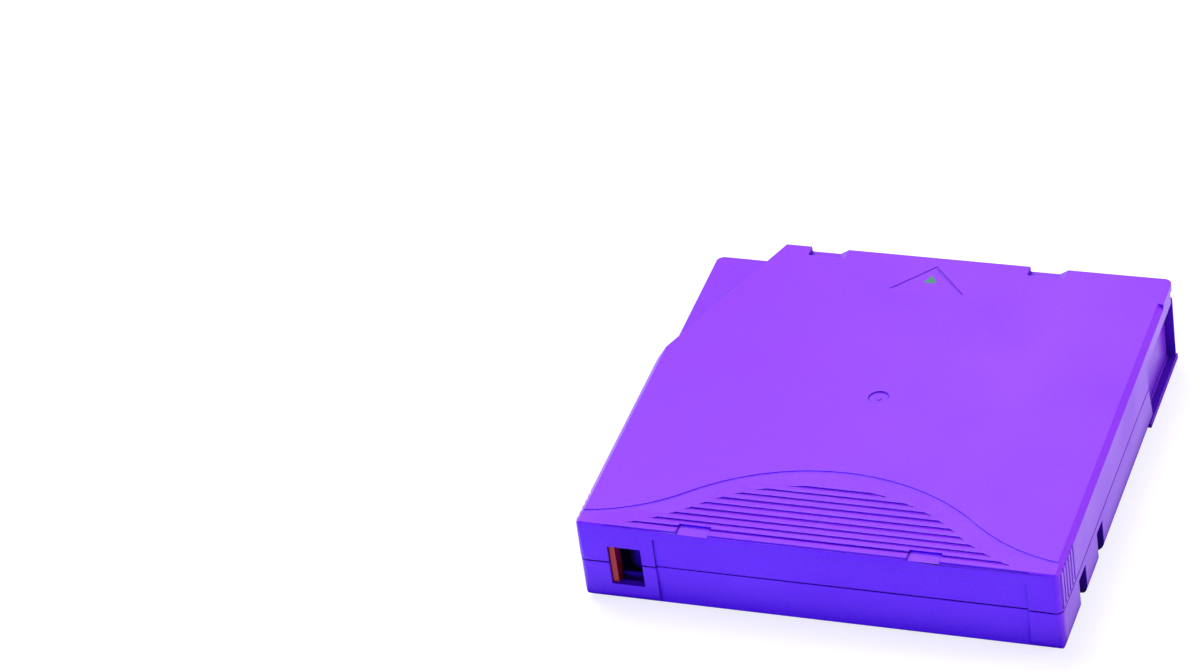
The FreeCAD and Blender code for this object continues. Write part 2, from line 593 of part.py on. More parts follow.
def locators():
    """Blind holes in the underside, one round and one oblong, and the bosses that hold them."""
    z, outer = ("-overshoot", "locator_depth"), "locator_radius + locator_wall"
    holes = [post("locator_round", "-locator_x", "locator_y", z, "locator_radius")]
    boss_z = ("deck", "locator_depth + locator_wall")
    bosses = [post("locator_boss_round", "-locator_x", "locator_y", boss_z, outer)]
    ends = ("locator_x - locator_slot / 2", "locator_x + locator_slot / 2")
    for index, x in enumerate(ends):
        holes.append(post(f"locator_end_{index}", x, "locator_y", z, "locator_radius"))
        bosses.append(post(f"locator_boss_{index}", x, "locator_y", boss_z, outer))
    holes.append(block("locator_middle", ends, ("locator_y - locator_radius", "locator_y + locator_radius"), z))
    return bosses, holes


def lower_shell():
    z = ("0", "parting_height")
    form = case_block("lower_form", z, [(x, "0", "bottom_radius") for x in ("-half_width", "half_width")],
                      [(y, "0", "bottom_radius") for y in ("-half_depth", "half_depth")])
    door_lip = block("door_lip", ("inner_x - 4", "half_width"), ("door_window_rear", "half_depth"),
                     ("0", "door_window_base"))
    cavity = block("lower_cavity", ("-inner_x", "inner_x"), ("-inner_y", "inner_y"), ("deck", "parting_height"))
    inside = [block(f"side_block_{index}", x, ("side_block_rear", "side_block_front"), ("deck", "parting_height"))
              for index, x in enumerate((("-inner_x", "-side_block_x"), ("side_block_x", "inner_x")))]
    inside += slider_pocket("lower", ("deck", "parting_height"),
                            ("deck", "protect_base - slider_overlap - slider_play"))
    rim = without("opening_rim",
                  post("rim_outer", "0", "0", ("deck", "deck + hub_rim_height"), "opening_radius + hub_rim_width"),
                  [post("rim_inner", "0", "0", ("deck", "deck + hub_rim_height"), "opening_radius")])
    inside += [rim, pin_seat("lower_pin_seat", ("deck", "deck + seat_height")),
               door_guide("lower_door_guide", ("deck", "deck + door_guide_height"))]
    for side, x in (("left", "board_left - board_holder"), ("right", "board_left + board_length")):
        inside.append(block(f"board_holder_{side}", (x, f"{x} + board_holder"),
                            ("-inner_y", "-inner_y + board_holder_length"),
                            ("deck", "board_centre_z + board_width / 2")))
    bosses, holes = locators()
    inside += bosses
    for place, (x, y) in SCREWS.items():
        inside.append(post(f"lower_boss_{place}", x, y, ("deck", "parting_height"), "boss_radius"))
        for kind, top, radius in (("hole", "parting_height", "screw_radius"),
                                  ("sink", "screw_sink", "screw_head_radius")):
            holes.append(post(f"screw_{kind}_{place}", x, y, ("-overshoot", top), f"{radius} + screw_play"))
    skin = without("lower_skin", joined("lower_outer", [form, door_lip]), [cavity])
    window = prism("lower_door_window", "YZ",
                   [("door_window_rear + door_window_lean", "door_window_base"), ("inner_y", "door_window_base"),
                    ("inner_y", "parting_height"), ("door_window_rear", "parting_height")],
                   ("inner_x - overlap", "half_width + overshoot"))
    holes += side_notches() + rear_openings("lower")
    holes += [window, post("reel_opening", "0", "0", ("-overshoot", "deck + overshoot"), "opening_radius")]
    return without("lower_shell", joined("lower_solid", [skin] + inside), holes)


def case_screws():
    """Four pan-head screws driven from below."""
    screws = []
    for place, (x, y) in SCREWS.items():
        under = "screw_sink - screw_head_height"
        head = post(f"screw_head_{place}", x, y, (under, "screw_sink"), "screw_head_radius")
        shank = post(f"screw_shank_{place}", x, y,
                     ("screw_sink - overlap", "screw_sink + screw_length"), "screw_radius")
        arms = (("screw_radius", "screw_cross_half"), ("screw_cross_half", "screw_radius"))
        cross = [block(f"screw_cross_{place}_{index}", (f"{x} - {a}", f"{x} + {a}"), (f"{y} - {b}", f"{y} + {b}"),
                       (f"{under} - overlap", f"{under} + screw_cross_depth"))
                 for index, (a, b) in enumerate(arms)]
        screws.append(without(f"screw_{place}", joined(f"screw_blank_{place}", [head, shank]), cross))
    group = doc.addObject("Part::Compound", "case_screws")
    group.Links = screws
    return group


# ---- door and slider ------------------------------------------------------------------------------

def access_door():
    """Sliding plate behind the window, with the lug that the drive pushes."""
    body = new_body("access_door")
    z = ("deck + door_edge_gap", "roof - door_edge_gap")
    profile = outline(body, "door_profile", "YZ", corners(("door_rear", "door_front"), z), "door_inner")
    extruded(body, "Pad", "door_plate", profile, "door_thickness")
    lug_top = "roof - door_guide_height - door_edge_gap"
    lug_z = (f"{lug_top} - door_lug_height", lug_top)
    lug = outline(body, "lug_profile", "YZ",
                  corners(("door_front - door_lug_length", "door_front"), lug_z), "door_inner")
    extruded(body, "Pad", "door_lug", lug, "door_lug_depth", back=True)
    return body


def write_protect_slider():
    """Red slider: a plate behind the wall and a grip bar that stands into the window."""
    body = new_body("write_protect_slider")
    z = ("protect_base - slider_overlap", "protect_top + slider_overlap")
    plate = outline(body, "slider_profile", "XZ", corners(("slider_right - slider_width", "slider_right"), z),
                    "-inner_y + slider_play")
    extruded(body, "Pad", "slider_plate", plate, "slider_thickness", back=True)
    bar_z = ("protect_base + slider_play", "protect_top - slider_play")
    bar = outline(body, "bar_profile", "XZ", corners(("slider_right - slider_bar_width", "slider_right"), bar_z),
                  "-half_depth + slider_bar_sink")
    extruded(body, "Pad", "slider_bar", bar, "wall - slider_bar_sink + slider_play + overlap", back=True)
    return body


# ---- reel -----------------------------------------------------------------------------------------

def radial_groove(body, name, ring, floor, mouth):
    """Trapezoid groove cut outwards along +X across a ring; floor and mouth are (height, width) pairs."""
    profile = outline(body, name + "_profile", "YZ",
                      [(f"-{mouth[1]} / 2", mouth[0]), (f"{mouth[1]} / 2", mouth[0]),
                       (f"{floor[1]} / 2", floor[0]), (f"-{floor[1]} / 2", floor[0])],
                      f"{ring}_inner - overshoot")
    return extruded(body, "Pocket", name, profile, f"{ring}_outer - {ring}_inner + 2 * overshoot", back=True)


def reel_hub():
    """Hub, lower flange, drive ring below and brake ring inside, turned as one and then toothed."""
    body = new_body("reel_hub")
    turned(body, "Revolution", "hub_turned", [
        ("hub_eye_radius", "reel_base"), ("drive_ring_inner", "reel_base"),
        ("drive_ring_inner", "drive_ring_sink"), ("drive_ring_outer", "drive_ring_sink"),
        ("drive_ring_outer", "reel_base"), ("flange_radius", "reel_base"),
        ("flange_radius", "reel_base + flange_thickness"), ("hub_radius", "reel_base + flange_thickness"),
        ("hub_radius", "flange_top"), ("hub_bore", "flange_top"), ("hub_bore", "floor_top"),
        ("brake_ring_outer", "floor_top"), ("brake_ring_outer", "brake_ring_top"),
        ("brake_ring_inner", "brake_ring_top"), ("brake_ring_inner", "floor_top"),
        ("hub_eye_radius", "floor_top")])
    gap_half = "arm_width / 2 + leg_play"
    gap = outline(body, "arm_gap_profile", "XY",
                  corners(("brake_ring_inner - overshoot", "brake_ring_outer + overshoot"),
                          (f"-({gap_half})", gap_half)), "brake_ring_top")
    arm_gap = extruded(body, "Pocket", "arm_gap", gap, "brake_ring_height")
    arm_gaps = around(body, "arm_gaps", [arm_gap], "3")
    leg = circle(body, "leg_hole_profile", "XY", "leg_circle", "0", "leg_radius + leg_play", "floor_top")
    leg_hole = extruded(body, "Pocket", "leg_hole", leg, "floor_top - drive_ring_sink + overshoot")
    around(body, "leg_holes", [leg_hole], "3")
    drive = radial_groove(body, "drive_groove", "drive_ring",
                          ("drive_ring_sink + drive_tooth_depth", "drive_tooth_top"),
                          ("drive_ring_sink - groove_overrun", "(drive_tooth_top + 2 * drive_tooth_slope)"))
    around(body, "drive_teeth", [drive], "tooth_count")
    brake = radial_groove(body, "brake_groove", "brake_ring",
                          ("brake_ring_top - brake_tooth_depth", "(brake_tooth_width + 2 * brake_play)"),
                          ("brake_ring_top + groove_overrun",
                           "(brake_tooth_width + 2 * brake_tooth_slope + 2 * brake_play)"))
    around(body, "brake_teeth", [brake], "tooth_count")
    return body


def upper_flange():
    """Flange with the spigot that centres it in the hub."""
    body = new_body("upper_flange")
    spigot_outer = "hub_bore - spigot_play"
    turned(body, "Revolution", "flange_turned", [
        (f"{spigot_outer} - spigot_wall", "flange_top - spigot_depth"),
        (spigot_outer, "flange_top - spigot_depth"),
        (spigot_outer, "flange_top"), ("flange_radius", "flange_top"),
        ("flange_radius", "flange_top + flange_thickness"),
        (f"{spigot_outer} - spigot_wall", "flange_top + flange_thickness")])
    return body


def drive_plate():
    """Steel ring under the hub floor."""
    body = new_body("drive_plate")
    turned(body, "Revolution", "plate_turned",
           corners(("plate_inner", "plate_outer"), ("reel_base - plate_thickness", "reel_base")))
    return body


def tape_pack():
    """All turns of the tape as one ring."""
    body = new_body("tape_pack")
    turned(body, "Revolution", "pack_turned",
           corners(("hub_radius", "pack_radius"), ("pack_base", "pack_base + tape_width")))
    return body


def release_plate():
    """Disc with three arms, each with a leg that reaches down between the drive teeth."""
    body = new_body("release_plate")
    disc = circle(body, "release_disc_profile", "XY", "0", "0", "release_radius", "release_base")
    extruded(body, "Pad", "release_disc", disc, "release_thickness")
    reach = "leg_circle + leg_radius"
    arm = outline(body, "arm_profile", "XY",
                  corners(("0", reach), ("-arm_width / 2", "arm_width / 2")), "release_base")
    arm_pad = extruded(body, "Pad", "release_arm", arm, "release_thickness")
    leg = circle(body, "leg_profile", "XY", "leg_circle", "0", "leg_radius", "release_base - leg_length")
    leg_pad = extruded(body, "Pad", "release_leg", leg, "leg_length + release_thickness / 2")
    around(body, "release_arms", [arm_pad, leg_pad], "3")
    return body


def brake_button():
    """Brake: toothed disc below, keyed post above."""
    body = new_body("brake_button")
    turned(body, "Revolution", "brake_turned", [
        ("0", "release_top + brake_play"), ("brake_boss_radius", "release_top + brake_play"),
        ("brake_boss_radius", "brake_under"), ("brake_disc_radius", "brake_under"),
        ("brake_disc_radius", "brake_top"), ("brake_post_radius", "brake_top"),
        ("brake_post_radius", "post_top"), ("0", "post_top")])
    tip = "brake_under - brake_tooth_depth"
    wide = "(brake_tooth_width / 2 + brake_tooth_slope)"
    profile = outline(body, "brake_tooth_profile", "YZ",
                      [("-brake_tooth_width / 2", tip), ("brake_tooth_width / 2", tip),
                       (wide, "brake_under + overlap"), (f"-{wide}", "brake_under + overlap")], "brake_ring_inner")
    tooth = extruded(body, "Pad", "brake_tooth", profile, "brake_ring_outer - brake_ring_inner")
    around(body, "brake_tooth_ring", [tooth], "tooth_count")
    half, reach = "(key_width / 2 + key_play)", "(key_length / 2 + key_play)"
    cross = [(half, half), (half, reach), (f"-{half}", reach), (f"-{half}", half), (f"-{reach}", half),
             (f"-{reach}", f"-{half}"), (f"-{half}", f"-{half}"), (f"-{half}", f"-{reach}"),
             (half, f"-{reach}"), (half, f"-{half}"), (reach, f"-{half}"), (reach, half)]
    socket = outline(body, "key_socket_profile", "XY", cross, "post_top")
    extruded(body, "Pocket", "key_socket", socket, "key_socket_depth")
    return body


def coil(name, radius, wire, height, turns):
    """Open coil spring, upright from the origin: a six-sided wire along short straight steps of a helix."""
    radius, wire, height, turns = value(radius), value(wire), value(height), value(turns)
    steps = round(turns * COIL_STEPS)
    angles = [2 * math.pi * turns * step / steps for step in range(steps + 1)]
    spine = Part.makePolygon([Vector(radius * math.cos(angle), radius * math.sin(angle),
                                     wire / 2 + (height - wire) * step / steps)
                              for step, angle in enumerate(angles)])
    start, ahead = spine.Edges[0].Vertexes[0].Point, spine.Edges[0].Curve.Direction
    across = start.cross(Vector(0, 0, 1)).cross(ahead).normalize()
    turn = [FreeCAD.Rotation(ahead, 60 * side).multVec(across * (wire / 2)) for side in range(7)]
    spring = doc.addObject("Part::Feature", name)
    spring.Shape = spine.makePipeShell([Part.makePolygon([start + arm for arm in turn])], True, False, 1)
    return spring


def brake_spring():
    """Coil between the brake and the roof."""
    body = coil("brake_spring", "spring_radius", "spring_wire", "roof - brake_top", "spring_turns")
    body.setExpression(".Placement.Base.z", bound("brake_top"))
    return body


def door_spring():
    """Long coil between the side block and the rear edge of the door."""
    body = coil("door_spring", "door_spring_radius", "door_spring_wire", "door_rear - side_block_front",
                "door_spring_turns")
    body.Placement.Rotation = FreeCAD.Rotation(Vector(1, 0, 0), -90)
    body.setExpression(".Placement.Base.x", bound("inner_x - door_spring_inset"))
    body.setExpression(".Placement.Base.y", bound("side_block_front"))
    body.setExpression(".Placement.Base.z", bound("door_spring_height"))
    return body


# ---- leader pin and tape end ------------------------------------------------------------------------

def leader_pin():
    """Pin with a head at each end."""
    body = new_body("leader_pin")
    turned(body, "Revolution", "pin_turned", [
        ("0", "pin_base"), ("pin_head_radius", "pin_base"), ("pin_head_radius", "pin_base + pin_head_height"),
        ("pin_radius", "pin_base + pin_head_height"), ("pin_radius", "pin_top - pin_head_height"),
        ("pin_head_radius", "pin_top - pin_head_height"), ("pin_head_radius", "pin_top"), ("0", "pin_top")])
    body.setExpression(".Placement.Base.x", bound("pin_x"))
    body.setExpression(".Placement.Base.y", bound("pin_y"))
    return body


def tape_lead():
    """Free end of the tape: straight from the pack to the pin, touching both circles on one side."""
    start, end = "(pack_radius + tape_gap)", "pin_radius"
    reach = "sqrt(pin_x^2 + pin_y^2)"
    heading = f"atan(pin_y / pin_x) - acos(({start} - {end}) / {reach})"
    strip = doc.addObject("Part::Box", "tape_lead")
    strip.setExpression("Length", bound("tape_thickness"))
    strip.setExpression("Width", bound(f"sqrt(pin_x^2 + pin_y^2 - ({start} - {end})^2)"))
    strip.setExpression("Height", bound("tape_width"))
    strip.setExpression(".Placement.Rotation.Angle", bound(heading))
    strip.setExpression(".Placement.Base.x", bound(f"{start} * cos({heading})"))
    strip.setExpression(".Placement.Base.y", bound(f"{start} * sin({heading})"))
    strip.setExpression(".Placement.Base.z", bound("pack_base"))
    return strip


def pin_tape_clip():
    """C-shaped clip that holds the tape against the pin; its mouth faces the pack."""
    inner, outer = "(pin_radius + tape_thickness)", "(pin_radius + tape_thickness + clip_wall)"
    z = ("pack_base + clip_margin", "pack_base + tape_width - clip_margin")
    ring = without("clip_ring", post("clip_outer", "pin_x", "pin_y", z, outer),
                   [post("clip_inner", "pin_x", "pin_y", z, inner)])
    mouth = block("clip_mouth", ("pin_x - pin_radius / 2", f"pin_x + {outer}"),
                  (f"pin_y - {outer}", "pin_y - clip_mouth_step"), z)
    return without("pin_tape_clip", ring, [mouth])


def pin_retaining_spring():
    """Bent leaf: an upright back against the front wall and an arm over each end of the pin."""
    back_y, arm_x = "(inner_y - leaf_gap)", "(pin_x + pin_head_radius + leaf_gap)"
    pieces = [block("leaf_back", ("pin_x - leaf_reach", f"{arm_x} + leaf_thickness"),
                    (f"{back_y} - leaf_thickness", back_y), ("pin_base", "pin_top"))]
    ends = {"lower": ("pin_base", "pin_base + leaf_width"), "upper": ("pin_top - leaf_width", "pin_top")}
    for end, z in ends.items():
        pieces.append(block(f"leaf_arm_{end}", (arm_x, f"{arm_x} + leaf_thickness"),
                            ("pin_y - leaf_overlap", back_y), z))
    return joined("pin_retaining_spring", pieces)


# ---- memory board -----------------------------------------------------------------------------------

def tilted_plate(name, length, width, thickness, x, lift):
    """Plate turned 45 degrees about X, its underside lift above the board's middle plane."""
    plate = doc.addObject("Part::Box", name)
    for prop, text in (("Length", length), ("Width", width), ("Height", thickness)):
        plate.setExpression(prop, bound(text))
    plate.Placement.Rotation = FreeCAD.Rotation(Vector(1, 0, 0), -45)
    shift = "sqrt(0.5)"
    plate.setExpression(".Placement.Base.x", bound(x))
    plate.setExpression(".Placement.Base.y", bound(f"board_centre_y + ({lift} - {width} / 2) * {shift}"))
    plate.setExpression(".Placement.Base.z", bound(f"board_centre_z + ({lift} + {width} / 2) * {shift}"))
    return plate


def memory_board():
    return tilted_plate("memory_board", "board_length", "board_width", "board_thickness", "board_left",
                        "(-board_thickness / 2)")


def memory_chip():
    return tilted_plate("memory_chip", "chip_side", "chip_side", "chip_thickness",
                        "board_left + board_length / 2 - chip_side / 2", "(board_thickness / 2)")


SUB_PARTS = [upper_shell, lower_shell, case_screws, access_door, write_protect_slider, reel_hub, upper_flange,
             drive_plate, tape_pack, tape_lead, leader_pin, pin_tape_clip, pin_retaining_spring, brake_button,
             brake_spring, release_plate, door_spring, memory_board, memory_chip]


def main():
    fill_sheet()
    pieces = []
    for make in SUB_PARTS:
        piece = make()
        piece.Label = make.__name__
        pieces.append(piece)
        doc.recompute()
    failed = [thing.Label for thing in doc.Objects if {"Invalid", "Error"} & set(thing.State)]
    if failed:
        raise RuntimeError("objects that did not compute: " + ", ".join(failed))
    for piece in pieces:
        if piece.Shape.isNull() or not piece.Shape.isValid() or not piece.Shape.Solids:
            raise RuntimeError("no valid solid in " + piece.Label)
    os.makedirs("parts", exist_ok=True)
    for piece in pieces:
        piece.Shape.exportStep(os.path.join("parts", piece.Label + ".step"))
        box = piece.Shape.BoundBox
        print(f"{piece.Label:24s} {len(piece.Shape.Solids)} solid(s), {piece.Shape.Volume:10.1f} mm3, "
              f"x {box.XMin:.2f}..{box.XMax:.2f} y {box.YMin:.2f}..{box.YMax:.2f} z {box.ZMin:.2f}..{box.ZMax:.2f}")


main()
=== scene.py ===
"""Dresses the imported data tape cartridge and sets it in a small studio.

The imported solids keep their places. The two case shells and the sliding door get copies with rounded edges, the two
coil springs are wound as smooth wire, and every part gets the finish of the material that it is made of.
"""

import json
import math

import bmesh
import bpy
import numpy as np
from bpy.props import FloatProperty, FloatVectorProperty, PointerProperty
from bpy.types import Operator, Panel, PropertyGroup
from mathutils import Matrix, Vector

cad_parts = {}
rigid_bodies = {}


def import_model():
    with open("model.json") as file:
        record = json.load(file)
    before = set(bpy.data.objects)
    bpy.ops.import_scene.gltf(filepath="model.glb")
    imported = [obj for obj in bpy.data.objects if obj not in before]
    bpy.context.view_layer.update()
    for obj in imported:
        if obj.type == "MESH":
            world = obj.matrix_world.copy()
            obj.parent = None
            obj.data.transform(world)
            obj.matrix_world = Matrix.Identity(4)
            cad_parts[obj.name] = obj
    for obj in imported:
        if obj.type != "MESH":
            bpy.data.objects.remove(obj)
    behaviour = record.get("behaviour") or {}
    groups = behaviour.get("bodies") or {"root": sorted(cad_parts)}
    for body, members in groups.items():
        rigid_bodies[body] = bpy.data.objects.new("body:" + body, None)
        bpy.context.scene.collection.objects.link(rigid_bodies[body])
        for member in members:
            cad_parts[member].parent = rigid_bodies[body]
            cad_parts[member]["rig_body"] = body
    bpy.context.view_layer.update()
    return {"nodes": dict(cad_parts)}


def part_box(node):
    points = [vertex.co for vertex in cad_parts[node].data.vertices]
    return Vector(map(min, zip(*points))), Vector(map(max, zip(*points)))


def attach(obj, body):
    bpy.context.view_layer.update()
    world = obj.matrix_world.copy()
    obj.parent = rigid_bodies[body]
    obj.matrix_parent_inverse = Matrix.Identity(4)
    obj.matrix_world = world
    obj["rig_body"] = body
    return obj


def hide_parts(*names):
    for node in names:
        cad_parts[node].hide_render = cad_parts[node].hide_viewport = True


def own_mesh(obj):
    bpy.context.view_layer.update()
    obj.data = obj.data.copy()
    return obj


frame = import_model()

bl_info = {
    "name": "Data tape cartridge",
    "version": (1, 0, 0),
    "blender": (4, 5, 0),
    "location": "View3D > Sidebar > Cartridge",
    "description": "Moulded case, reel, springs and leader parts of a data tape cartridge, with a studio stage",
    "category": "Add Mesh",
}

MM = 0.001
WHOLE_TURN = 2 * math.pi
MIX_COLOUR = (0, 6, 7)  # the Mix node's own places for its factor and two colours
MIX_RESULT = 2

# Rounding of the mouldings' edges
MERGE_DISTANCE = 0.001 * MM
FLAT_ANGLE = math.radians(0.5)  # faces that turn less than this are one face
SHARP_ANGLE = math.radians(50)
SHORTEST_EDGE = 3.2  # in widths of the rounding
RAMP_ANGLE = math.radians(0.6)
LEVEL_FACE = 0.95  # upward share of the normal of a face that counts as level

# How far apart two faces may turn and still be shaded as one curve
MOULDED_SMOOTH = math.radians(30)
WOUND_SMOOTH = math.radians(40)

# Spans of openness over which the case's painted shade and its paler edges change. Out in the open it is 1, at the
# foot of a shallow step about a half, and inside a pocket near 0.
# Over this span of openness, outer edges are painted paler, partly as rubbed wear and partly as a painted highlight.
RUBBED_AND_HIGHLIT_SPAN = 0.86, 0.98
DULL_SPAN = 0.5, 0.9
GROOVE_SHADE_SPAN = 0.4, 0.95
POCKET_SHADE_SPAN = 0.12, 0.36
# Painted shade: how much of the dark groove tone and the near-black pocket tone is painted where each is deepest.
GROOVE_SHADE_SHARE = 0.75  # of the groove colour where a groove is deepest
POCKET_SHADE_SHARE = 0.96  # of the pocket colour where a pocket is deepest
BEND_SPAN = 0.72, 0.98  # cosine of the turn at an edge, from well round it to nearly flat
GRAIN_SPAN = 0.35, 0.7  # heights of the grain, from where its speckle starts to where it is full

SPRING_PLAY = 0.05 * MM  # keeps the door spring's wire inside its box
INK_ROOT = 0.05 * MM  # how far the printed mark reaches below the face

# Place and side of each lamp, in metres
KEY_LAMP = (-0.45, 0.4, 1.35), 0.9
GLEAM_LAMP = (-0.06, 0.32, 0.26), 0.12
SIDE_LAMP = (0.4, 0.05, 0.09), 0.12
FILL_LAMP = (-0.2, -1.4, 0.35), 0.8
WHITE = (1, 1, 1)
HALF_FLOOR = 3.0
FLOOR_DROP = 0.05 * MM  # keeps the floor clear of the underside


# Small helpers


def linear(code):
    """Turns an sRGB hex colour such as #9641FF into linear red, green and blue."""
    levels = np.array([int(code[start : start + 2], 16) for start in (1, 3, 5)]) / 255
    curved = ((levels + 0.055) / 1.055) ** 2.4
    return tuple(float(level) for level in np.where(levels <= 0.04045, levels / 12.92, curved))


def colour_property(name, description, code):
    """A colour that the panel shows, with its sRGB hex default."""
    return FloatVectorProperty(
        name=name, description=description, subtype="COLOR", size=3, min=0, max=1, default=linear(code)
    )


def length_property(name, description, millimetres):
    """A length that the panel shows, with its default in millimetres."""
    return FloatProperty(
        name=name, description=description, default=millimetres * MM, min=0, unit="LENGTH", precision=5
    )


def share_property(name, description, share):
    """A plain share from 0 to 1."""
    return FloatProperty(name=name, description=description, default=share, min=0, max=1, subtype="FACTOR")


def add(tree, kind, settings=None, sockets=None):
    """Adds one node, sets its own properties, and gives its sockets a constant or a link."""
    made = tree.nodes.new(kind)
    for name, setting in (settings or {}).items():
        setattr(made, name, setting)
    for name, given in (sockets or {}).items():
        if isinstance(given, bpy.types.NodeSocket):
            tree.links.new(given, made.inputs[name])
        else:
            made.inputs[name].default_value = given
    return made


def maths(tree, operation, first, second):
    """One step of arithmetic on two values, each a number or a link."""
    return add(tree, "ShaderNodeMath", {"operation": operation}, {0: first, 1: second}).outputs["Value"]


def blank_material(name, constants):
    """A material with one principled shader, its constants set on the shader's own sockets, and Object coordinates."""
    material = bpy.data.materials.new(name)
    material.use_nodes = True
    tree = material.node_tree
    tree.nodes.clear()
    shader = add(tree, "ShaderNodeBsdfPrincipled", sockets=constants)
    add(tree, "ShaderNodeOutputMaterial", sockets={"Surface": shader.outputs["BSDF"]})
    place = add(tree, "ShaderNodeTexCoord").outputs["Object"]
    return material, tree, shader, place


def noise(tree, place, size, detail=2.0, stretch=None):
    """Soft noise whose patches are about `size` metres, drawn out along an axis by `stretch`."""
    if stretch:
        place = add(tree, "ShaderNodeMapping", sockets={"Vector": place, "Scale": stretch}).outputs["Vector"]
    made = add(tree, "ShaderNodeTexNoise", sockets={"Vector": place, "Scale": 1 / size, "Detail": detail})
    return made.outputs["Fac"]


def spread(tree, value, low, high, start=0.3, end=0.7):
    """Takes a value between start and end to a value between low and high, with no overshoot."""
    limits = {"Value": value, "From Min": start, "From Max": end, "To Min": low, "To Max": high}
    return add(tree, "ShaderNodeMapRange", sockets=limits).outputs["Result"]


def mixed_colour(tree, share, first, second):
    """Blends two colours, each linear or a link, by a share."""
    first, second = (c if isinstance(c, bpy.types.NodeSocket) else (*c, 1.0) for c in (first, second))
    made = add(tree, "ShaderNodeMix", {"data_type": "RGBA"}, dict(zip(MIX_COLOUR, (share, first, second))))
    return made.outputs[MIX_RESULT]


def bumped(tree, height, depth, normal=None):
    """A normal tilted by a height map whose full range is `depth` metres."""
    sockets = {"Height": height, "Distance": depth, "Strength": 1.0}
    if normal:
        sockets["Normal"] = normal
    return add(tree, "ShaderNodeBump", sockets=sockets).outputs["Normal"]


def wire_up(tree, shader, colour, roughness, normal):
    """Links colour, roughness and normal outputs to the shader."""
    for name, socket in (("Base Color", colour), ("Roughness", roughness), ("Normal", normal)):
        tree.links.new(socket, shader.inputs[name])


def pattern_finish(tree, shader, pattern, tones, roughness, depth):
    """Lets one pattern carry the colour between two tones and the roughness between two levels, and dent the face."""
    wire_up(
        tree,
        shader,
        colour=mixed_colour(tree, spread(tree, pattern, 0, 1), *tones),
        roughness=spread(tree, pattern, *roughness),
        normal=bumped(tree, pattern, depth),
    )


# Finishes


def moulded_polycarbonate(settings):
    """Polycarbonate coloured in the mass, moulded against a spark-eroded tool: an even satin with a fine sandy grain
    and a slightly cloudy sheen where hands have polished it, and a touch paler on outer edges, partly from rubbed wear
    and partly as a painted highlight. Grooves and steps get a painted shade that reads as fine darker lines, and deep
    pockets a painted shade that is nearly black."""
    material, tree, shader, place = blank_material(
        "polycarbonate_moulded_satin", {"IOR": settings.index, "Specular IOR Level": settings.shine}
    )
    edge = add(tree, "ShaderNodeBevel", {"samples": 6}, {"Radius": settings.edge_round}).outputs["Normal"]
    face = add(tree, "ShaderNodeNewGeometry").outputs["Normal"]
    agree = add(tree, "ShaderNodeVectorMath", {"operation": "DOT_PRODUCT"}, {0: edge, 1: face}).outputs["Value"]
    # The occlusion node's openness drives the painted shade of grooves and pockets, and keeps the paler edges to open
    # edges.
    openness = add(tree, "ShaderNodeAmbientOcclusion", {"samples": 8}, {"Distance": settings.shelter}).outputs["AO"]
    # Edges that turn sharply and stand in the open are painted paler: partly rubbed wear, partly a painted highlight.
    bent = spread(tree, agree, settings.edge_wear_and_highlight, 0, *BEND_SPAN)
    outer = spread(tree, openness, 0, 1, *RUBBED_AND_HIGHLIT_SPAN)
    rubbed_and_highlit_edge = maths(tree, "MULTIPLY", bent, outer)
    grain = noise(tree, place, settings.grain, 3.0)
    cloud = noise(tree, place, settings.cloud, 4.0)
    body = mixed_colour(tree, spread(tree, cloud, 0, 1), settings.colour, settings.deep_colour)
    satin = spread(tree, cloud, settings.roughness - 0.05, settings.roughness + 0.06)
    sheltered = spread(tree, openness, 1, 0, *DULL_SPAN)
    dull = maths(tree, "MAXIMUM", satin, sheltered)
    specks = spread(tree, grain, 0, settings.speckle, *GRAIN_SPAN)
    # Painted shade: grooves and steps are darkened, and deep pockets turned nearly black, by how closed in they are.
    groove = spread(tree, openness, GROOVE_SHADE_SHARE, 0, *GROOVE_SHADE_SPAN)
    pocket = spread(tree, openness, POCKET_SHADE_SHARE, 0, *POCKET_SHADE_SPAN)
    colour = mixed_colour(tree, specks, body, settings.pale_grain_and_edge_highlight_colour)
    colour = mixed_colour(tree, rubbed_and_highlit_edge, colour, settings.pale_grain_and_edge_highlight_colour)
    colour = mixed_colour(tree, groove, colour, settings.painted_groove_shade_colour)
    colour = mixed_colour(tree, pocket, colour, settings.painted_pocket_shade_colour)
    wire_up(tree, shader, colour, roughness=dull, normal=bumped(tree, grain, settings.grain_depth, edge))
    return material


def moulded_gloss(name, colour, roughness, index):
    """A small plastic moulding from a polished tool: smooth, a little glossy, its colour a touch uneven from flow."""
    material, tree, shader, place = blank_material(name, {"IOR": index})
    flow = noise(tree, place, 5 * MM, 3.0)
    grain = noise(tree, place, 0.4 * MM)
    deeper = [0.84 * share for share in colour]
    wire_up(
        tree,
        shader,
        colour=mixed_colour(tree, spread(tree, flow, 0, 1), colour, deeper),
        roughness=spread(tree, grain, roughness - 0.04, roughness + 0.06),
        normal=bumped(tree, grain, 0.004 * MM),
    )
    return material


def ring_lines(tree, place, pitch, jitter):
    """Rings about the reel's axis, one every `pitch` metres, their strength uneven from ring to ring."""
    parts = add(tree, "ShaderNodeSeparateXYZ", sockets={"Vector": place}).outputs
    flat = add(tree, "ShaderNodeCombineXYZ", sockets={"X": parts["X"], "Y": parts["Y"]}).outputs["Vector"]
    radius = add(tree, "ShaderNodeVectorMath", {"operation": "LENGTH"}, {0: flat}).outputs["Value"]
    along = maths(tree, "MULTIPLY", radius, 1 / pitch)
    made = add(tree, "ShaderNodeTexNoise", {"noise_dimensions": "1D"}, {"W": along, "Detail": jitter})
    return made.outputs["Fac"]


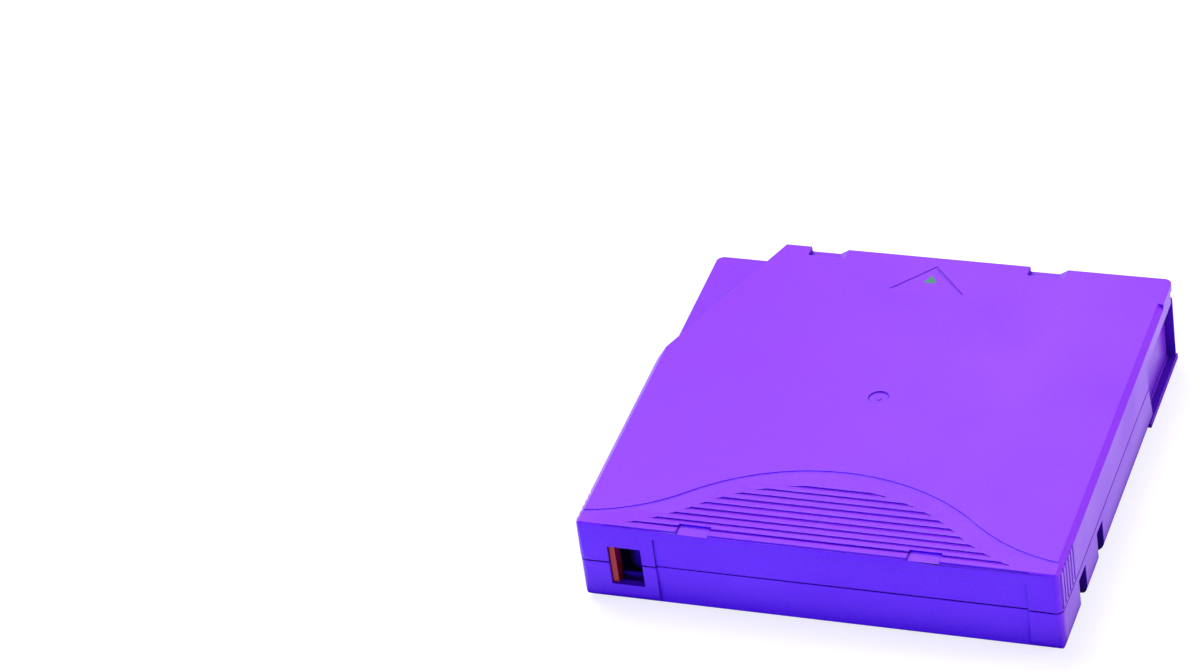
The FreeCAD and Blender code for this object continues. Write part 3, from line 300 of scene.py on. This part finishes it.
def wound_film(settings):
    """Polyester tape wound under tension: a near black pack whose edge shows hair-fine rings where turns stand a
    little proud. The turns are 0.006 mm thick, so the rings are drawn 0.5 mm apart to show."""
    material, tree, shader, place = blank_material("polyester_film_wound", {"IOR": 1.6})
    rings = ring_lines(tree, place, 0.5 * MM, 2.0)
    tones = settings.tape_colour, linear("#2E2623")
    pattern_finish(tree, shader, rings, tones, roughness=(0.26, 0.42), depth=0.02 * MM)
    return material


def stamped_steel():
    """Stainless strip, blanked and tumbled: dull silver with fine scratches that cross, which blur its highlights."""
    material, tree, shader, place = blank_material("stainless_steel_stamped", {"Metallic": 1.0})
    scratches = noise(tree, place, 0.6 * MM, 4.0, (1.0, 9.0, 1.0))
    crossing = noise(tree, place, 0.6 * MM, 4.0, (9.0, 1.0, 1.0))
    height = maths(tree, "MAXIMUM", scratches, crossing)
    tones = linear("#B9B9BC"), linear("#8F9094")
    pattern_finish(tree, shader, height, tones, roughness=(0.28, 0.46), depth=0.003 * MM)
    return material


def turned_steel():
    """Steel rod turned and ground: bright, with very fine rings that run round the pin."""
    material, tree, shader, place = blank_material("steel_turned_ground", {"Metallic": 1.0})
    rings = noise(tree, place, 4 * MM, 2.0, (0.05, 0.05, 40.0))
    tones = linear("#CFCFD2"), linear("#A8A9AE")
    pattern_finish(tree, shader, rings, tones, roughness=(0.16, 0.3), depth=0.002 * MM)
    return material


def zinc_plate():
    """Thread-forming screws, zinc plated and blue passivated: cool silver with a faint straw cast and a crystalline
    mottle."""
    material, tree, shader, place = blank_material("steel_zinc_plated", {"Metallic": 1.0})
    cells = add(tree, "ShaderNodeTexVoronoi", sockets={"Vector": place, "Scale": 1 / (0.5 * MM)}).outputs["Distance"]
    tint = noise(tree, place, 3 * MM)
    wire_up(
        tree,
        shader,
        colour=mixed_colour(tree, spread(tree, tint, 0, 1), linear("#BFC6CE"), linear("#C3BFB0")),
        roughness=spread(tree, cells, 0.24, 0.42, 0.0, 0.8),
        normal=bumped(tree, cells, 0.002 * MM),
    )
    return material


def drawn_spring_steel():
    """Music wire and spring strip, drawn or rolled: dark grey and smooth, with faint lengthwise die lines."""
    material, tree, shader, place = blank_material("spring_steel_drawn", {"Metallic": 1.0})
    lines = noise(tree, place, 0.8 * MM, 3.0, (1.0, 0.15, 1.0))
    tones = linear("#A3A5A8"), linear("#6F7174")
    pattern_finish(tree, shader, lines, tones, roughness=(0.2, 0.36), depth=0.002 * MM)
    return material


def glass_laminate():
    """Glass-cloth epoxy board under green mask: a glossy skin with the faint crossed weave of the cloth below."""
    material, tree, shader, place = blank_material("glass_epoxy_laminate", {"IOR": 1.52})
    across = add(tree, "ShaderNodeTexWave", {"bands_direction": "X"}, {"Vector": place, "Scale": 1 / (3 * MM)})
    along = add(tree, "ShaderNodeTexWave", {"bands_direction": "DIAGONAL"}, {"Vector": place, "Scale": 1 / (3 * MM)})
    weave = maths(tree, "MULTIPLY", across.outputs["Fac"], along.outputs["Fac"])
    wire_up(
        tree,
        shader,
        colour=mixed_colour(tree, weave, linear("#1F5B3A"), linear("#2C7248")),
        roughness=spread(tree, weave, 0.24, 0.36, 0, 1),
        normal=bumped(tree, weave, 0.003 * MM),
    )
    return material


def pad_ink(settings):
    """Pad-printed ink on satin plastic: a thin, flat green film that lets the grain below show faintly."""
    material, tree, shader, place = blank_material("pad_print_ink", {"IOR": 1.5})
    grain = noise(tree, place, 0.5 * MM, 3.0)
    wire_up(
        tree,
        shader,
        colour=mixed_colour(tree, spread(tree, grain, 0, 0.3), settings.colour, linear("#4AA878")),
        roughness=spread(tree, grain, 0.45, 0.6),
        normal=bumped(tree, grain, 0.01 * MM),
    )
    return material


# Shapes


def coil_surface(wire, mean, turns, dead_turns, length, sides, steps_per_turn):
    """Round wire carried along a helix about Z that starts at height 0 and ends at `length`.

    At angle a the wire's centre is (mean cos a, mean sin a, h). The height h is the running sum of the pitch, which
    is one wire thickness over the dead turns at each end and an even, larger one between them. Round the wire, at
    angle b, a point is the centre plus wire * (cos b * outward + sin b * sideways), where outward is
    (cos a, sin a, 0) and sideways is the path's direction crossed with outward. Each end is closed by a flat face.
    """
    count = int(turns * steps_per_turn)
    turned = np.linspace(0, turns, count + 1)
    climb = length - 2 * wire
    closed = 2 * wire
    easing = 0.35  # turns over which the pitch changes
    easy = np.clip((np.minimum(turned, turns - turned) - dead_turns) / easing + 0.5, 0, 1)
    easy = easy * easy * (3 - 2 * easy)
    between = (easy[1:] + easy[:-1]) / 2
    free_pitch = closed + (climb - closed * turns) / (between.sum() / steps_per_turn)
    pitch = closed + (free_pitch - closed) * between
    height = wire + np.concatenate(([0.0], np.cumsum(pitch / steps_per_turn)))
    angle = WHOLE_TURN * turned
    outward = np.stack((np.cos(angle), np.sin(angle), np.zeros_like(angle)), 1)
    slope = np.gradient(height, angle)
    forward = np.stack((-mean * np.sin(angle), mean * np.cos(angle), slope), 1)
    forward /= np.linalg.norm(forward, axis=1, keepdims=True)
    sideways = np.cross(forward, outward)
    around = WHOLE_TURN * np.arange(sides) / sides
    centre = outward * mean + np.stack((0 * angle, 0 * angle, height), 1)
    ring = np.cos(around)[None, :, None] * outward[:, None] + np.sin(around)[None, :, None] * sideways[:, None]
    points = (centre[:, None] + wire * ring).reshape(-1, 3)
    return points, tube_faces(count + 1, sides)


def tube_faces(rings, sides):
    """Four-sided faces between neighbouring rings of points, and one flat face over each end."""
    ring = np.arange(rings - 1)[:, None] * sides
    side = np.arange(sides)[None, :]
    beyond = (side + 1) % sides
    walls = np.stack((ring + side, ring + beyond, ring + sides + beyond, ring + sides + side), 2).reshape(-1, 4)
    first = np.arange(sides)[::-1]
    last = (rings - 1) * sides + np.arange(sides)
    return [*walls.tolist(), first.tolist(), last.tolist()]


def rounded_triangle(base, rise, corner, low, high, steps=6):
    """A thin flat triangle that points along +Y, its outline a round of radius `corner` about each inner corner.

    Going round by angle a, an outline point is the inner corner that faces a, plus corner * (cos a, sin a). The plate
    is that outline at two heights, closed by a flat face below and above.
    """
    tilt = math.atan2(rise, base / 2)
    turns = np.array([-math.pi / 2, math.pi / 2 - tilt, math.pi / 2 + tilt])
    ends = np.array([math.pi / 2 - tilt, math.pi / 2 + tilt, 3 * math.pi / 2])
    inner = np.array([(base / 2, 0.0), (0.0, rise), (-base / 2, 0.0)])
    angle = turns[:, None] + (ends - turns)[:, None] * np.linspace(0, 1, steps)[None, :]
    outline = inner[:, None] + corner * np.stack((np.cos(angle), np.sin(angle)), 2)
    outline = outline.reshape(-1, 2)
    levels = [np.column_stack((outline, np.full(len(outline), height))) for height in (low, high)]
    return np.concatenate(levels), tube_faces(2, len(outline))


def new_piece(name, points, faces, body, material):
    """Puts points and faces into a mesh and lets it ride on a body."""
    mesh = bpy.data.meshes.new(name)
    mesh.from_pydata(points, [], faces)
    mesh.update()
    return placed_piece(name, mesh, body, material, WOUND_SMOOTH)


def placed_piece(name, mesh, body, material, smooth_angle):
    """Makes a mesh an object of the scene, with its material, slot and body, shaded smooth up to an angle."""
    mesh.materials.append(material)
    mesh.shade_smooth()
    mesh.set_sharp_from_angle(angle=smooth_angle)
    piece = bpy.data.objects.new(name, mesh)
    bpy.context.scene.collection.objects.link(piece)
    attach(piece, body)
    return piece


def rounded_copy(node, name, width, material):
    """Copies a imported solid, merges its loose triangles, joins flat neighbours into whole faces and rounds its edges.

    Only sharp edges that are long beside the rounding are rounded, because shorter ones would throw spikes. The edges
    of the gentle ramps in the top stay crisp, so that their shading doesn't smear over the faces around them.
    """
    source = frame["nodes"][node].data
    points = np.empty(len(source.vertices) * 3)
    source.vertices.foreach_get("co", points)
    raw = bpy.data.meshes.new(name)
    raw.from_pydata(points.reshape(-1, 3), [], [list(face.vertices) for face in source.polygons])
    shape = bmesh.new()
    shape.from_mesh(raw)
    bmesh.ops.remove_doubles(shape, verts=shape.verts, dist=MERGE_DISTANCE)
    bmesh.ops.dissolve_limit(shape, angle_limit=FLAT_ANGLE, verts=shape.verts, edges=shape.edges)
    share = shape.edges.layers.float.new("bevel_weight_edge")
    ramp = shape.edges.layers.int.new("ramp_edge")
    for edge in shape.edges:
        turn = edge.calc_face_angle(0.0)
        edge[share] = float(turn > SHARP_ANGLE and edge.calc_length() > SHORTEST_EDGE * width)
        edge[ramp] = int(turn > RAMP_ANGLE and all(face.normal.z > LEVEL_FACE for face in edge.link_faces))
    shape.to_mesh(raw)
    shape.free()
    piece = placed_piece(name, raw, frame["nodes"][node]["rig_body"], material, MOULDED_SMOOTH)
    edges = piece.data.attributes
    ramps, creases = np.zeros((2, len(piece.data.edges)), dtype=np.int32)
    edges["ramp_edge"].data.foreach_get("value", ramps)
    edges["sharp_edge"].data.foreach_get("value", creases)
    edges["sharp_edge"].data.foreach_set("value", (ramps + creases) > 0)
    soft = piece.modifiers.new("Edge round", "BEVEL")
    soft.width = width
    soft.segments = 2
    soft.limit_method = "WEIGHT"
    soft.use_clamp_overlap = False
    soft.harden_normals = True
    soft.miter_outer = "MITER_ARC"
    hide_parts(node)
    return piece


def dress(material, *nodes):
    """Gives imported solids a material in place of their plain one."""
    for node in nodes:
        for slot in frame["nodes"][node].material_slots:
            slot.material = material


def middle(node, axis):
    """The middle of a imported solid's box along an axis."""
    low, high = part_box(node)
    return (low[axis] + high[axis]) / 2


# Stage


def seen_or_mirrored(tree):
    """One for rays from the eye and for their reflections and views through glass, nought for light on the object."""
    path = add(tree, "ShaderNodeLightPath").outputs
    shown = path["Is Camera Ray"]
    for kind in ("Is Glossy Ray", "Is Transmission Ray"):
        shown = maths(tree, "MAXIMUM", shown, path[kind])
    return shown


def stage_floor(settings):
    """A matt painted floor that is lifted to white for the eye and for reflections, and keeps the object's shadow."""
    material = bpy.data.materials.new("matt_painted_floor")
    material.use_nodes = True
    tree = material.node_tree
    tree.nodes.clear()
    paint = add(tree, "ShaderNodeBsdfDiffuse", sockets={"Color": (*settings.floor_colour, 1)}).outputs["BSDF"]
    lift = maths(tree, "MULTIPLY", seen_or_mirrored(tree), settings.floor_lift)
    glow = add(tree, "ShaderNodeEmission", sockets={"Color": (*WHITE, 1), "Strength": lift}).outputs["Emission"]
    both = add(tree, "ShaderNodeAddShader", sockets={0: paint, 1: glow}).outputs["Shader"]
    add(tree, "ShaderNodeOutputMaterial", sockets={"Surface": both})
    return material


def studio_sky(settings):
    """White for the eye and for reflections, and a weaker tinted light all round for the object."""
    world = bpy.data.worlds.new("studio_sky")
    world.use_nodes = True
    tree = world.node_tree
    tree.nodes.clear()
    light = add(
        tree, "ShaderNodeBackground", sockets={"Color": (*settings.sky_colour, 1), "Strength": settings.sky_level}
    ).outputs["Background"]
    white = add(tree, "ShaderNodeBackground", sockets={"Color": (*WHITE, 1), "Strength": 1.0}).outputs["Background"]
    shown = add(tree, "ShaderNodeMixShader", sockets={0: seen_or_mirrored(tree), 1: light, 2: white}).outputs["Shader"]
    add(tree, "ShaderNodeOutputWorld", sockets={"Surface": shown})
    return world


def soft_lamp(name, place, size, watts, colour):
    """A square lamp that faces the object's middle."""
    lamp = bpy.data.lights.new(name, "AREA")
    lamp.size = size
    lamp.energy = watts
    lamp.color = colour
    stand = bpy.data.objects.new(name, lamp)
    stand.location = place
    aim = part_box("upper_shell")[0].lerp(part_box("upper_shell")[1], 0.5) - stand.location
    stand.rotation_euler = aim.to_track_quat("-Z", "Y").to_euler()
    bpy.context.scene.collection.objects.link(stand)


# Settings


class CaseSettings(PropertyGroup):
    """The moulded case."""

    colour: colour_property("Plastic colour", "Colour of the case plastic", "#9C10FF")
    deep_colour: colour_property("Cloud colour", "The slightly deeper tone of the cloudy mottle", "#9408F8")
    # This paler tone lightens the grain specks. On outer edges it is partly rubbed wear and partly a painted highlight.
    pale_grain_and_edge_highlight_colour: colour_property("Edge colour", "The paler tone along rubbed edges", "#B878FF")
    # Painted shade: the dark tone painted into grooves and steps.
    painted_groove_shade_colour: colour_property(
        "Groove colour", "Tone of grooves and steps, where light and hands hardly reach", "#3800B0"
    )
    # Painted shade: the near-black tone painted into deep pockets.
    painted_pocket_shade_colour: colour_property("Pocket colour", "Tone of deep pockets, where no light reaches", "#06000C")
    shelter: length_property("Shelter", "How near another surface has to be to shade a groove or pocket", 12.0)
    edge_round: length_property("Edge round", "Radius that softens every edge of the mouldings", 0.14)
    grain: length_property("Grain", "Patch size of the spark-eroded grain, drawn coarse enough to show", 0.55)
    grain_depth: length_property("Grain depth", "Height of the grain", 0.018)
    cloud: length_property("Cloud size", "Patch size of the uneven sheen", 22)
    roughness: share_property("Roughness", "How satin the case is", 0.33)
    shine: share_property("Shine", "Strength of the reflection", 0.34)
    index: FloatProperty(name="Index", description="Refractive index of polycarbonate", default=1.585, min=1, max=2)
    # Paler outer edges are partly rubbed wear and partly a painted highlight.
    edge_wear_and_highlight: share_property("Edge wear", "How much paler rubbed edges are", 0.12)
    speckle: share_property("Speckle", "How much the grain lightens the colour", 0.08)


class MarkSettings(PropertyGroup):
    """The direction mark on the top face."""

    colour: colour_property("Ink colour", "Colour of the printed triangle", "#2F8F5E")
    base: length_property("Width", "Width of the triangle between its inner corners", 2.1)
    rise: length_property("Rise", "Height of the triangle between its inner corners", 2.0)
    corner: length_property("Corner", "Radius of the triangle's corners", 0.25)
    film: length_property("Film", "Thickness of the ink", 0.015)
    forward: length_property("Place", "Distance of the triangle's base ahead of the middle", 41.9)


class InnerSettings(PropertyGroup):
    """Parts in and on the case."""

    slider_colour: colour_property("Slider colour", "Colour of the write-protect slider", "#F41608")
    reel_colour: colour_property("Reel colour", "Colour of the reel mouldings", "#D9D8D2")
    brake_colour: colour_property("Brake colour", "Colour of the brake and its release plate", "#ECEAE0")
    clip_colour: colour_property("Clip colour", "Colour of the tape clip", "#E4E2DA")
    tape_colour: colour_property("Tape colour", "Colour of the wound tape", "#171210")
    chip_colour: colour_property("Chip colour", "Colour of the memory chip's drop", "#17181A")


class SpringSettings(PropertyGroup):
    """The two coil springs."""

    door_wire: length_property("Door wire", "Thickness of the door spring's wire", 0.42)
    door_turns: FloatProperty(name="Door turns", description="Turns of the door spring", default=22, min=2)
    brake_wire: length_property("Brake wire", "Thickness of the brake spring's wire", 0.85)
    brake_turns: FloatProperty(name="Brake turns", description="Turns of the brake spring", default=4.5, min=2)
    dead_turns: FloatProperty(name="Closed turns", description="Turns wound tight at each end", default=0.8, min=0)


class StageSettings(PropertyGroup):
    """Camera, floor and lamps."""

    camera_place: FloatVectorProperty(
        name="Camera place",
        description="Where the camera stands",
        subtype="TRANSLATION",
        unit="LENGTH",
        default=(0.2828, -0.7857, 0.6633),
    )
    camera_turn: FloatVectorProperty(
        name="Camera turn",
        description="How the camera is turned",
        subtype="EULER",
        unit="ROTATION",
        default=tuple(math.radians(angle) for angle in (53.28, 7.15, 18.41)),
    )
    lens: FloatProperty(name="Lens", description="Focal length in millimetres", default=146.87, min=1)
    key_level: FloatProperty(name="Key level", description="Watts of the lamp above", default=17.5, min=0)
    side_level: FloatProperty(name="Side level", description="Watts of the low lamp beside", default=0.55, min=0)
    gleam_level: FloatProperty(name="Gleam level", description="Watts of the small lamp behind", default=0.05, min=0)
    fill_level: FloatProperty(name="Fill level", description="Watts of the lamp in front", default=14.0, min=0)
    fill_colour: colour_property("Fill colour", "Colour of the lamp in front", "#6020FF")
    sky_level: FloatProperty(name="Sky level", description="Strength of the even light around", default=0.2, min=0)
    sky_colour: colour_property("Sky colour", "Colour of the even light around", "#B0A0FF")
    floor_colour: colour_property("Floor colour", "Colour of the floor's paint", "#B8B8B8")
    floor_lift: share_property("Floor lift", "How far the floor is lifted to white for the eye", 0.8)


# Operators


class CARTRIDGE_OT_case(Operator):
    """Rounds the edges of both case shells and the sliding door, and gives them the satin case plastic"""

    bl_idname = "cartridge.case"
    bl_label = "Case shells and door"

    def execute(self, context):
        settings = context.scene.cartridge_case
        material = moulded_polycarbonate(settings)
        for node, name in (
            ("upper_shell", "upper_shell_moulding"),
            ("lower_shell", "lower_shell_moulding"),
            ("access_door", "access_door_moulding"),
        ):
            rounded_copy(node, name, settings.edge_round, material)
        return {"FINISHED"}


class CARTRIDGE_OT_mark(Operator):
    """Prints the small green triangle that shows which way the cartridge goes in"""

    bl_idname = "cartridge.direction_mark"
    bl_label = "Direction mark"

    def execute(self, context):
        settings = context.scene.cartridge_mark
        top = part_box("upper_shell")[1].z
        points, faces = rounded_triangle(
            settings.base, settings.rise, settings.corner, top - INK_ROOT, top + settings.film
        )
        points[:, 1] += settings.forward
        material = pad_ink(settings)
        new_piece("direction_mark", points, faces, "case", material)
        return {"FINISHED"}


class CARTRIDGE_OT_inner(Operator):
    """Gives the slider, reel, brake, tape and leader parts their finishes"""

    bl_idname = "cartridge.inner_parts"
    bl_label = "Slider, reel, brake and leader"

    def execute(self, context):
        settings = context.scene.cartridge_inner
        for plastic, colour, roughness, index, *nodes in (
            ("abs_moulded_gloss", settings.slider_colour, 0.3, 1.54, "write_protect_slider"),
            ("polycarbonate_glass_filled", settings.reel_colour, 0.42, 1.58, "reel_hub", "upper_flange"),
            ("acetal_moulded", settings.brake_colour, 0.34, 1.48, "brake_button", "release_plate"),
            ("polyester_moulded", settings.clip_colour, 0.36, 1.57, "pin_tape_clip"),
            ("epoxy_cast_black", settings.chip_colour, 0.5, 1.55, "memory_chip"),
        ):
            dress(moulded_gloss(plastic, colour, roughness, index), *nodes)
        dress(wound_film(settings), "tape_pack", "tape_lead")
        dress(stamped_steel(), "drive_plate")
        dress(turned_steel(), "leader_pin")
        dress(zinc_plate(), "case_screws")
        dress(glass_laminate(), "memory_board")
        return {"FINISHED"}


class CARTRIDGE_OT_springs(Operator):
    """Winds the door spring and the brake spring as smooth wire"""

    bl_idname = "cartridge.springs"
    bl_label = "Coil springs"

    def execute(self, context):
        settings = context.scene.cartridge_springs
        material = drawn_spring_steel()
        dress(material, "pin_retaining_spring")

        low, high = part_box("door_spring")
        wire = settings.door_wire / 2
        mean = (high.x - low.x) / 2 - wire - SPRING_PLAY
        length = high.y - low.y
        points, faces = coil_surface(
            wire, mean, settings.door_turns, settings.dead_turns, length, sides=10, steps_per_turn=24
        )
        along = np.stack((points[:, 1] + middle("door_spring", 0), points[:, 2] + low.y, points[:, 0]), 1)
        along[:, 2] += middle("door_spring", 2)
        spring = new_piece("door_spring_wire", along, faces, "case", material)
        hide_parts("door_spring")
        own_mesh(spring)

        low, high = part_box("brake_spring")
        wire = settings.brake_wire / 2
        mean = high.x - wire
        length = high.z - low.z
        points, faces = coil_surface(
            wire, mean, settings.brake_turns, settings.dead_turns, length, sides=16, steps_per_turn=48
        )
        points[:, 2] += low.z
        spring = new_piece("brake_spring_wire", points, faces, "case", material)
        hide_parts("brake_spring")
        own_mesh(spring)
        return {"FINISHED"}


class CARTRIDGE_OT_stage(Operator):
    """Sets the camera, the white floor that keeps the shadow, the soft lamps and the sky"""

    bl_idname = "cartridge.stage"
    bl_label = "Studio stage"

    def execute(self, context):
        settings = context.scene.cartridge_stage
        scene = context.scene
        camera = bpy.data.objects.new("camera", bpy.data.cameras.new("camera"))
        camera.location = settings.camera_place
        camera.rotation_euler = settings.camera_turn
        camera.data.lens = settings.lens
        scene.collection.objects.link(camera)
        scene.camera = camera

        floor_mesh = bpy.data.meshes.new("floor")
        corners = [(HALF_FLOOR * x, HALF_FLOOR * y, 0) for x, y in ((-1, -1), (1, -1), (1, 1), (-1, 1))]
        floor_mesh.from_pydata(corners, [], [(0, 1, 2, 3)])
        floor_mesh.materials.append(stage_floor(settings))
        floor = bpy.data.objects.new("floor", floor_mesh)
        floor.location.z = -FLOOR_DROP
        scene.collection.objects.link(floor)

        soft_lamp("key_lamp", *KEY_LAMP, settings.key_level, WHITE)
        soft_lamp("gleam_lamp", *GLEAM_LAMP, settings.gleam_level, WHITE)
        soft_lamp("side_lamp", *SIDE_LAMP, settings.side_level, WHITE)
        soft_lamp("fill_lamp", *FILL_LAMP, settings.fill_level, settings.fill_colour)
        scene.world = studio_sky(settings)
        scene.view_settings.view_transform = "Standard"
        return {"FINISHED"}


# Panel and registration

GROUPS = {
    "cartridge_case": CaseSettings,
    "cartridge_mark": MarkSettings,
    "cartridge_inner": InnerSettings,
    "cartridge_springs": SpringSettings,
    "cartridge_stage": StageSettings,
}
OPERATORS = (
    CARTRIDGE_OT_case,
    CARTRIDGE_OT_mark,
    CARTRIDGE_OT_inner,
    CARTRIDGE_OT_springs,
    CARTRIDGE_OT_stage,
)


class CARTRIDGE_PT_panel(Panel):
    """Lists the operators and their settings"""

    bl_idname = "CARTRIDGE_PT_panel"
    bl_label = "Data tape cartridge"
    bl_space_type = "VIEW_3D"
    bl_region_type = "UI"
    bl_category = "Cartridge"

    def draw(self, context):
        for operator, (attribute, group) in zip(OPERATORS, GROUPS.items()):
            box = self.layout.box()
            box.operator(operator.bl_idname)
            for name in group.__annotations__:
                box.prop(getattr(context.scene, attribute), name)


def register():
    """Registers the settings, operators and panel."""
    for cls in (*GROUPS.values(), *OPERATORS, CARTRIDGE_PT_panel):
        bpy.utils.register_class(cls)
    for attribute, group in GROUPS.items():
        setattr(bpy.types.Scene, attribute, PointerProperty(type=group))


def unregister():
    """Takes away all that register() added."""
    for attribute in GROUPS:
        delattr(bpy.types.Scene, attribute)
    for cls in reversed((*GROUPS.values(), *OPERATORS, CARTRIDGE_PT_panel)):
        bpy.utils.unregister_class(cls)


def main():
    register()
    for operator in OPERATORS:
        group, name = operator.bl_idname.split(".")
        getattr(getattr(bpy.ops, group), name)()


if __name__ == "__main__":
    main()
